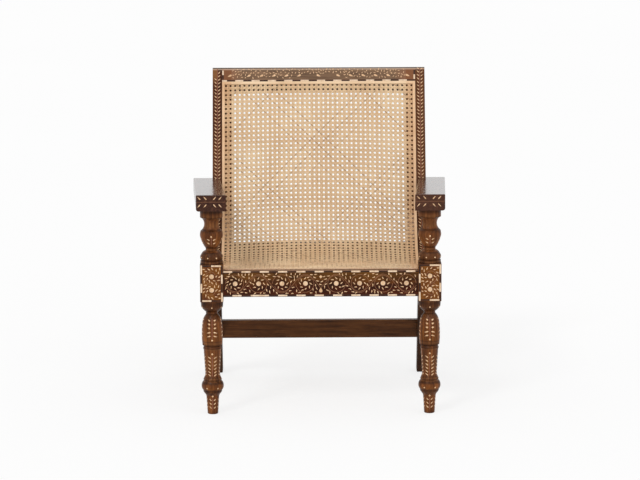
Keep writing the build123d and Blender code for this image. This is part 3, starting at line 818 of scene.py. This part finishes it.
class Ornament:
    """A field of flowers, vines and leaves that keep clear of one another."""

    LEAF = (9.2 * MM, 2.9 * MM)
    LEAF_BEND = 0.7 * MM
    LEAF_ROOM = 8.2 * MM
    FLOWER_ROOM = 11.5 * MM
    VINE_ROOM = 3.3 * MM
    SPROUT_PITCH = 4.7 * MM
    SPROUT_REACH = 6.2 * MM
    LEAN = 0.7

    def __init__(self, view, field, flowers, seed):
        """Each flower is (u, v, turn), and its leaves whirl anticlockwise where turn is 1."""
        self.view, self.field, self.flowers = view, field, flowers
        self.chips, self.vines, self.lines = Chips(), Chips(), Chips()
        self.random = random.Random(seed)
        self.spots = [(u, v, self.FLOWER_ROOM) for u, v, _ in flowers]
        for u, v, _ in flowers:
            self.petals(u, v)

    def petals(self, u, v):
        """A rosette: petals round a disc, parted by dark lines."""
        middle = 0.62 * FLOWER_RADIUS
        for number in range(PETALS):
            angle = number * 2 * pi / PETALS + 0.2
            place = around(u, v, middle, angle)
            self.chips.leaf(self.view, *place, angle + pi, 0.72 * FLOWER_RADIUS, middle)
            cut = angle + pi / PETALS
            ends = [around(u, v, reach * FLOWER_RADIUS, cut) for reach in (0.35, 0.98)]
            self.lines.line(self.view, ends, 0.5 * MM)
        self.chips.dot(self.view, u, v, 0.26 * FLOWER_RADIUS)

    def vine(self, points):
        low, high = self.field[2:]
        points = [(u, min(max(v, low), high)) for u, v in points]
        self.vines.line(self.view, points, VINE_WIDTH)
        self.spots += [(u, v, self.VINE_ROOM) for u, v in points]

    def sprouts(self, points):
        """Leaves on alternate sides of a vine, leaning forward along it."""
        walked, side = 0.0, 1
        for (u, v), (next_u, next_v) in zip(points, points[1:]):
            walked += hypot(next_u - u, next_v - v)
            if walked < self.SPROUT_PITCH:
                continue
            walked, side = 0.0, -side
            ahead = atan2(next_v - v, next_u - u)
            place = around(u, v, self.SPROUT_REACH, ahead + side * pi / 2)
            self.leaf(*place, ahead + side * 0.6)

    def leaf(self, u, v, lean=None):
        """A leaf where there is room; it leans away from the nearest flower, or as told."""
        u_low, u_high, v_low, v_high = self.field
        if not (u_low < u < u_high and v_low < v < v_high):
            return
        if any(hypot(u - a, v - b) < reach for a, b, reach in self.spots):
            return
        flower = min(self.flowers, key=lambda place: hypot(u - place[0], v - place[1]))
        if lean is None:
            lean = atan2(v - flower[1], u - flower[0]) + flower[2] * self.LEAN
        lean += self.random.uniform(-0.15, 0.15)
        length = self.LEAF[0] * self.random.uniform(0.85, 1.1)
        self.chips.leaf(self.view, u, v, lean, length, self.LEAF[1], flower[2] * self.LEAF_BEND)
        self.spots.append((u, v, self.LEAF_ROOM))

    def ring(self, flower, radius, count):
        """Leaves evenly round a flower."""
        for number in range(count):
            angle = (number + self.random.uniform(-0.1, 0.1)) * 2 * pi / count
            self.leaf(*around(*flower[:2], radius, angle))

    def fill(self, tries):
        """Leaves wherever there is room left."""
        for _ in range(tries):
            u = self.random.uniform(*self.field[:2])
            self.leaf(u, self.random.uniform(*self.field[2:]))

    def finish(self, name):
        self.chips.finish(f"{name}_bone_leaves", bone_aged, "bone")
        self.vines.finish(f"{name}_vines", vine_tone, "carved_wood")
        self.lines.finish(f"{name}_flower_lines", horn_plain, "horn")


def spiral_vine(u, v, along, turn, outer=31, inner=10.5):
    """A branch that comes in beside a flower at (u, v) and winds round it; radii in mm."""
    points = []
    steps = 34
    for step in range(steps + 1):
        share = step / steps
        angle = pi - share * 1.9 * pi
        radius = (outer + (inner - outer) * share**0.7) * MM
        points.append((u + along * radius * cos(angle), v - turn * radius * sin(angle)))
    return points


def flower_places(node):
    """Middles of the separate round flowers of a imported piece, from left to right."""
    columns = {}
    for vertex in frame["nodes"][node].data.vertices:
        key = next((k for k in columns if abs(k - vertex.co.x) < 20 * MM), vertex.co.x)
        columns.setdefault(key, []).append(vertex.co)
    places = []
    for group in columns.values():
        sides = zip(*group)
        places.append(Vector([(min(side) + max(side)) / 2 for side in sides]))
    return sorted(places, key=lambda place: place.x)


RAIL_BORDER = 8.6 * MM  # of slips, above and below the rail's field
RAIL_FIELD_END = POST_X - 38 * MM
VINE_STEP = 2 * MM
VINE_SWING = 26 * MM  # of the waving vine, up and down
RAIL_SPIRAL = (27, 21.5)
RAIL_RING = (15.8 * MM, 8)  # radius and number of the leaves round each flower
DIAMOND_PLACE = 19 * MM
DIAMOND_SIZE = 9 * MM
DIAMOND_ROOM = 8 * MM
DROP_PLACE = -18.5 * MM
DROP_SIZE = (14 * MM, 9.5 * MM)
DROP_ROOM = 11 * MM


def rail_inlay():
    """A waving vine, a whirl of leaves round each flower, and a diamond and drop in the middle."""
    middle = (rail_low.z + rail_high.z) / 2
    surface = surface_of("front_rail", "front_rail_flowers")
    view = View(surface, (0, rail_low.y, middle), (1, 0, 0), (0, 0, 1))
    places = [(place.x, place.z - middle) for place in flower_places("front_rail_flowers")]
    half_height = (rail_high.z - rail_low.z) / 2 - RAIL_BORDER
    end = RAIL_FIELD_END
    flowers = []
    for number, (u, v) in enumerate(places):
        order = number if u < 0 else len(places) - 1 - number
        turn = 1 if order % 2 == 0 else -1
        flowers.append((u, v, turn if u < 0 else -turn))
    rail = Ornament(view, (-end, end, -half_height, half_height), flowers, seed=3)
    spacing = places[1][0] - places[0][0]
    reach = [-end + i * VINE_STEP for i in range(int(end / VINE_STEP) + 1)]
    wave = [-VINE_SWING * cos(pi * (u - places[0][0]) / spacing) for u in reach]
    vines = []
    for along in (1, -1):
        vines.append([(along * u, v) for u, v in zip(reach, wave)])
        for order in range(len(places) // 2):
            turn = -1 if order % 2 == 0 else 1
            u, v = places[order]
            vines.append(spiral_vine(along * u, v, along, turn, *RAIL_SPIRAL))
    for vine in vines:
        rail.vine(vine)
    rail.chips.diamond(view, 0, DIAMOND_PLACE, DIAMOND_SIZE, DIAMOND_SIZE)
    rail.spots.append((0, DIAMOND_PLACE, DIAMOND_ROOM))
    rail.chips.leaf(view, 0, DROP_PLACE, pi / 2, *DROP_SIZE)
    rail.spots.append((0, DROP_PLACE, DROP_ROOM))
    for flower in flowers:
        rail.ring(flower, *RAIL_RING)
    for vine in vines:
        rail.sprouts(vine)
    rail.fill(tries=1600)
    rail.finish("rail")


BLOCK_FIELD = (-24.5 * MM, 24.5 * MM, -44 * MM, 44 * MM)
BLOCK_FLOWERS = 19 * MM  # above and under the middle
BLOCK_RINGS = ((14 * MM, 7), (23 * MM, 13))  # radius and number of the leaves


def block_inlay(side):
    """Two flowers in whirls of leaves on the front of a block."""
    sign = SIGN[side]
    surface = surface_of(f"front_post_{side}", f"block_bone_inlay_{side}")
    origin = (sign * POST_X, POST_Y - BLOCK_HALF, BLOCK_MIDDLE)
    view = View(surface, origin, (1, 0, 0), (0, 0, 1))
    flowers = [(0, level * BLOCK_FLOWERS, -sign) for level in (-1, 1)]
    block = Ornament(view, BLOCK_FIELD, flowers, seed=11)
    for u, v, _ in flowers:
        block.vine(spiral_vine(u, v, sign, 1 if v > 0 else -1)[8:])
    for ring in BLOCK_RINGS:
        for flower in flowers:
            block.ring(flower, *ring)
    block.fill(tries=700)
    block.finish(f"block_{side}")


def face_view(surface, across, travel):
    """A view square to the cane's face at a travel."""
    heading = float(face_heading(np.array(travel)))
    place = face_points(across, travel, 0)
    return View(surface, place, (1, 0, 0), (0, cos(heading), sin(heading)))


STILE_BAND = (90 * MM, 972 * MM)  # travel of the band's lower end and of its uppermost pair
STILE_PITCH = 10.6 * MM
STILE_LEAF = (9.4 * MM, 2.9 * MM)
STILE_LEAF_OFFSET = 5.8 * MM  # from the stem to each side
STILE_LEFT_SHIFT = 1.2 * MM  # of the left leaf of a pair, upwards
STILE_LEAN = 0.85
WORN_LEAVES = {-1: 3, 1: 1}  # lost from the top of the left stile's two columns


def stile_inlay(side):
    """A stem with pairs of leaves up the face of a stile, from the seat to the crest."""
    rng = random.Random(5)
    sign = SIGN[side]
    chips, vines = Chips(), Chips()
    surface = surface_of(f"back_stile_{side}", f"seat_side_rail_{side}", "top_rail")
    low, high = STILE_BAND
    for number in range(int((high - low) / STILE_PITCH)):
        view = face_view(surface, sign * STILE_MIDDLE, high - number * STILE_PITCH)
        for direction in (-1, 1):
            angle = pi / 2 - direction * (STILE_LEAN + rng.uniform(-0.08, 0.08))
            length = STILE_LEAF[0] * rng.uniform(0.92, 1.06)
            shift = 0.0 if direction > 0 else STILE_LEFT_SHIFT
            if side == "left" and number < WORN_LEAVES[direction]:
                continue
            place = (direction * STILE_LEAF_OFFSET, shift)
            chips.leaf(view, *place, angle, length, STILE_LEAF[1])
        vines.line(view, [(0, STILE_PITCH * (step / 4 - 0.5)) for step in range(5)], STEM_WIDTH)
    chips.finish(f"stile_bone_leaves_{side}", bone_aged, "bone")
    vines.finish(f"stile_stem_{side}", vine_red, "carved_wood")


PETAL_TRAVEL = 951 * MM
PETAL_PLACES = (0, 58, 95, 132, 168, 205, 261)  # from the middle to each side, in mm
PETAL_SIZE = (13 * MM, 6 * MM)
PETAL_LEAN = 0.42
PETAL_ROOM = 9 * MM
SLIVER_FIELD = (-252, 252, -6, 21)  # from the petals' middle, in mm
SLIVER_TRIES = 4000
SLIVER_ROOM = 7.4 * MM
BARE_HALF = 76 * MM  # of the crest's middle, where slivers keep to the upper edge
BARE_TOP = 7 * MM


def crest_inlay():
    """Petals along the crest, pointing outwards, under a scatter of slivers."""
    rng = random.Random(8)
    chips = Chips()
    surface = surface_of("top_rail", "back_stile_left", "back_stile_right")
    view = face_view(surface, 0, PETAL_TRAVEL)
    spots = []
    for place in PETAL_PLACES:
        for side in (-1, 1) if place else (1,):
            u = side * place * MM
            angle = -PETAL_LEAN if side > 0 else pi + PETAL_LEAN
            chips.leaf(view, u, 0, angle, *PETAL_SIZE)
            spots.append((u, 0, PETAL_ROOM))
    for _ in range(SLIVER_TRIES):
        u = rng.uniform(*SLIVER_FIELD[:2]) * MM
        v = rng.uniform(*SLIVER_FIELD[2:]) * MM
        if abs(u) < BARE_HALF and v < BARE_TOP:
            continue
        if any(hypot(u - a, v - b) < reach for a, b, reach in spots):
            continue
        angle = rng.uniform(0, pi)
        length = rng.uniform(5.2, 8) * MM
        chips.leaf(view, u, v, angle, length, rng.uniform(1.9, 2.8) * MM)
        spots.append((u, v, SLIVER_ROOM))
    chips.finish("crest_bone_leaves", bone_aged, "bone")


GROOVE_HEIGHT = 605.5 * MM  # of the groove across the arms' front ends
ARM_LEAVES = (-33, -16, 11, 26)  # across the arm's front, from the middle of its post, in mm
ARM_ROW = 10.8 * MM
ARM_LEAF = (12.5 * MM, 3 * MM)
ARM_GROOVE = (-40, 40)  # ends, in mm
GROOVE_WIDTH = 0.7 * MM


def arm_inlay(side):
    """Slanting leaves above and under a groove across the front end of an arm."""
    sign = SIGN[side]
    chips, vines = Chips(), Chips()
    low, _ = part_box(f"armrest_{side}")
    origin = (sign * POST_X, low.y, GROOVE_HEIGHT)
    view = View(surface_of(f"armrest_{side}"), origin, (1, 0, 0), (0, 0, 1))
    for row in (-1, 1):
        for u in ARM_LEAVES:
            away = 1 if u > 0 else -1
            chips.leaf(view, u * MM, row * ARM_ROW, row * (pi / 2 - away * 0.75), *ARM_LEAF)
    left, right = ARM_GROOVE
    vines.line(view, [(u * MM, 0) for u in range(left, right + 1, 4)], GROOVE_WIDTH)
    chips.finish(f"arm_bone_leaves_{side}", bone_aged, "bone")
    vines.finish(f"arm_stem_{side}", vine_tone, "carved_wood")


def leaf_pairs(heights, spread, length, width, lean):
    """Equal pairs of leaves at the heights given."""
    return [(height, spread, length, width, lean) for height in heights]


# A bud's height, its stem's ends, and pairs of leaves: their height, distance from the stem,
# length and width in mm, and their lean from upright, outwards
SPRIGS = (
    (51.7, (12, 46), leaf_pairs((42, 31, 20), 6.4, 8.8, 2.9, 0.85)),
    (173, (110, 166), leaf_pairs((163, 152, 141.5, 131.5, 121.5, 113), 8.6, 10.2, 3.1, 0.95)),
    (213, (218, 274), (
        (224, 9.3, 11, 3.6, 1.9),
        (234.5, 9.6, 11.5, 3.7, 1.85),
        (247.5, 8.8, 7.6, 5, 1.3),
        (258.5, 8.6, 7.4, 5, 1.1),
        (269, 8, 7, 4.6, 1.0),
    )),
    (505.5, (481, 502), leaf_pairs((497, 486.5), 8.6, 9, 3.2, 1.05)),
)
# Height in mm, number of dots, azimuth of the first, and their radius in mm
DOT_RINGS = ((76, 6, pi / 6, 2.2), (304.7, 6, 0, 2.0), (444.8, 8, -0.33, 2.1))
BUD = (5.8 * MM, 6.4 * MM)
STEM_STEPS = 10
VIEW_REACH = 38 * MM  # of a view's plane from its post's axis


def post_view(surface, side, azimuth):
    """A view of a post from an azimuth; zero is from the front, positive to the right."""
    sign = SIGN[side]
    outward = Vector((sin(azimuth), -cos(azimuth), 0))
    right = Vector((cos(azimuth), sin(azimuth), 0))
    axis = Vector((sign * POST_X, POST_Y, 0))
    return View(surface, axis + VIEW_REACH * outward, right, (0, 0, 1))


def post_inlay(side):
    """Four sprigs round each turned form of a post, and dots round its beads."""
    chips, vines = Chips(), Chips()
    surface = surface_of(f"front_post_{side}")
    for quarter in range(4):
        view = post_view(surface, side, quarter * pi / 2)
        for bud, (low, high), pairs in SPRIGS:
            chips.diamond(view, 0, bud * MM, *BUD)
            for height, spread, length, width, lean in pairs:
                for row in (-1, 1):
                    place = (row * spread * MM, height * MM)
                    chips.leaf(view, *place, pi / 2 - row * lean, length * MM, width * MM)
            heights = [low + (high - low) * i / STEM_STEPS for i in range(STEM_STEPS + 1)]
            vines.line(view, [(0, height * MM) for height in heights], STEM_WIDTH)
    for height, count, first, radius in DOT_RINGS:
        for number in range(count):
            view = post_view(surface, side, first + number * 2 * pi / count)
            chips.dot(view, 0, height * MM, radius * MM, 8)
    chips.finish(f"post_bone_leaves_{side}", bone_aged, "bone")
    vines.finish(f"post_stems_{side}", vine_red, "carved_wood")


# ---- Stage, light and camera ----

FLOOR_HALF = 60  # metres
FLOOR_TONES = ((0.95, 0.95, 0.95, 1), (0.97, 0.97, 0.97, 1))
FLOOR_WHITE = 0.76  # share of the floor's look that is plain white
SKY_LIGHT = 0.74  # strength of the sky as a light; it is seen at full strength
# Name, energy, tilt from straight down, turn and angular size in degrees
SUNS = (("key", 0.75, 48, -30, 14), ("fill", 0.35, 55, 38, 60))
LENS = 194.96
SENSOR = 36
CAMERA_PLACE = (-64 * MM, POST_Y - 9.5, 2.0527)
CAMERA_DOWN, CAMERA_TURN, CAMERA_ROLL = 9.338, -0.376, -0.2  # degrees


def seen_directly(n):
    """1 for what the camera sees, straight or in a mirror or glass, and 0 for other light."""
    rays = n.add("ShaderNodeLightPath").outputs
    seen = n.math("MAXIMUM", rays["Is Camera Ray"], rays["Is Glossy Ray"])
    return n.math("MAXIMUM", seen, rays["Is Transmission Ray"])


def whiten(n):
    """Mixes white into the floor's look, so that it pales and its shadow stays."""
    share = n.math("MULTIPLY", seen_directly(n), FLOOR_WHITE)
    white = n.add("ShaderNodeEmission").outputs["Emission"]
    both = n.add("ShaderNodeMixShader", {0: share, 1: n.shader.outputs["BSDF"], 2: white})
    n.tree.links.new(both.outputs["Shader"], n.tree.nodes["Material Output"].inputs["Surface"])


def lay_floor():
    n = new_material("floor_white")
    tone = n.ramp(n.noise(0.5), (0.3, FLOOR_TONES[0]), (0.7, FLOOR_TONES[1]))
    n.set(Base_Color=tone, Roughness=0.9, Specular_IOR_Level=0.0)
    whiten(n)
    signs = ((-1, -1), (1, -1), (1, 1), (-1, 1))
    corners = [(x * FLOOR_HALF, y * FLOOR_HALF, 0) for x, y in signs]
    floor = new_mesh("floor", corners, [[0, 1, 2, 3]], n.owner, smooth=False)


def light_sky():
    world = bpy.data.worlds.new("white_room")
    bpy.context.scene.world = world
    n = Nodes(world, "Background")
    n.set(Color=(1, 1, 1, 1), Strength=n.span(seen_directly(n), 0.0, 1.0, SKY_LIGHT))


def stage():
    """A white floor under a white sky, with soft light from the front and above."""
    lay_floor()
    light_sky()
    for name, energy, tilt, turn, spread in SUNS:
        lamp = bpy.data.lights.new(name, "SUN")
        lamp.energy = energy
        lamp.angle = radians(spread)
        lamp_object = bpy.data.objects.new(name, lamp)
        lamp_object.rotation_euler = (radians(tilt), 0, radians(turn))
        bpy.context.scene.collection.objects.link(lamp_object)


def camera():
    """A long lens from far in front, a little above the chair."""
    data = bpy.data.cameras.new("camera")
    data.lens = LENS
    data.sensor_width = SENSOR
    data.clip_end = 200
    view = bpy.data.objects.new("camera", data)
    view.location = CAMERA_PLACE
    level = Euler((radians(90 - CAMERA_DOWN), 0, radians(CAMERA_TURN))).to_matrix()
    view.rotation_euler = (level @ Matrix.Rotation(radians(CAMERA_ROLL), 3, "Z")).to_euler()
    bpy.context.scene.collection.objects.link(view)
    bpy.context.scene.camera = view


# ---- The whole chair ----


def weave():
    """The open cane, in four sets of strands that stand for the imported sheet."""
    sets = [
        ("cane_uprights", upright_strands(), STRAND_WIDTH, cane_upright),
        ("cane_levels", level_strands(), STRAND_WIDTH, cane_level),
        ("cane_diagonals_right", diagonal_strands(1), DIAGONAL_WIDTH, cane_diagonal),
        ("cane_diagonals_left", diagonal_strands(-1), DIAGONAL_WIDTH, cane_diagonal),
    ]
    for name, strands, width, material in sets:
        piece = strand_mesh(name, strands, width, material)
        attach(piece, BODY)
        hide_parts("cane_panel")


dress_nodes()
weave()
rail_inlay()
crest_inlay()
for side in ("left", "right"):
    block_inlay(side)
    stile_inlay(side)
    arm_inlay(side)
    post_inlay(side)
stage()
camera()
bpy.context.scene.view_settings.view_transform = "Standard"
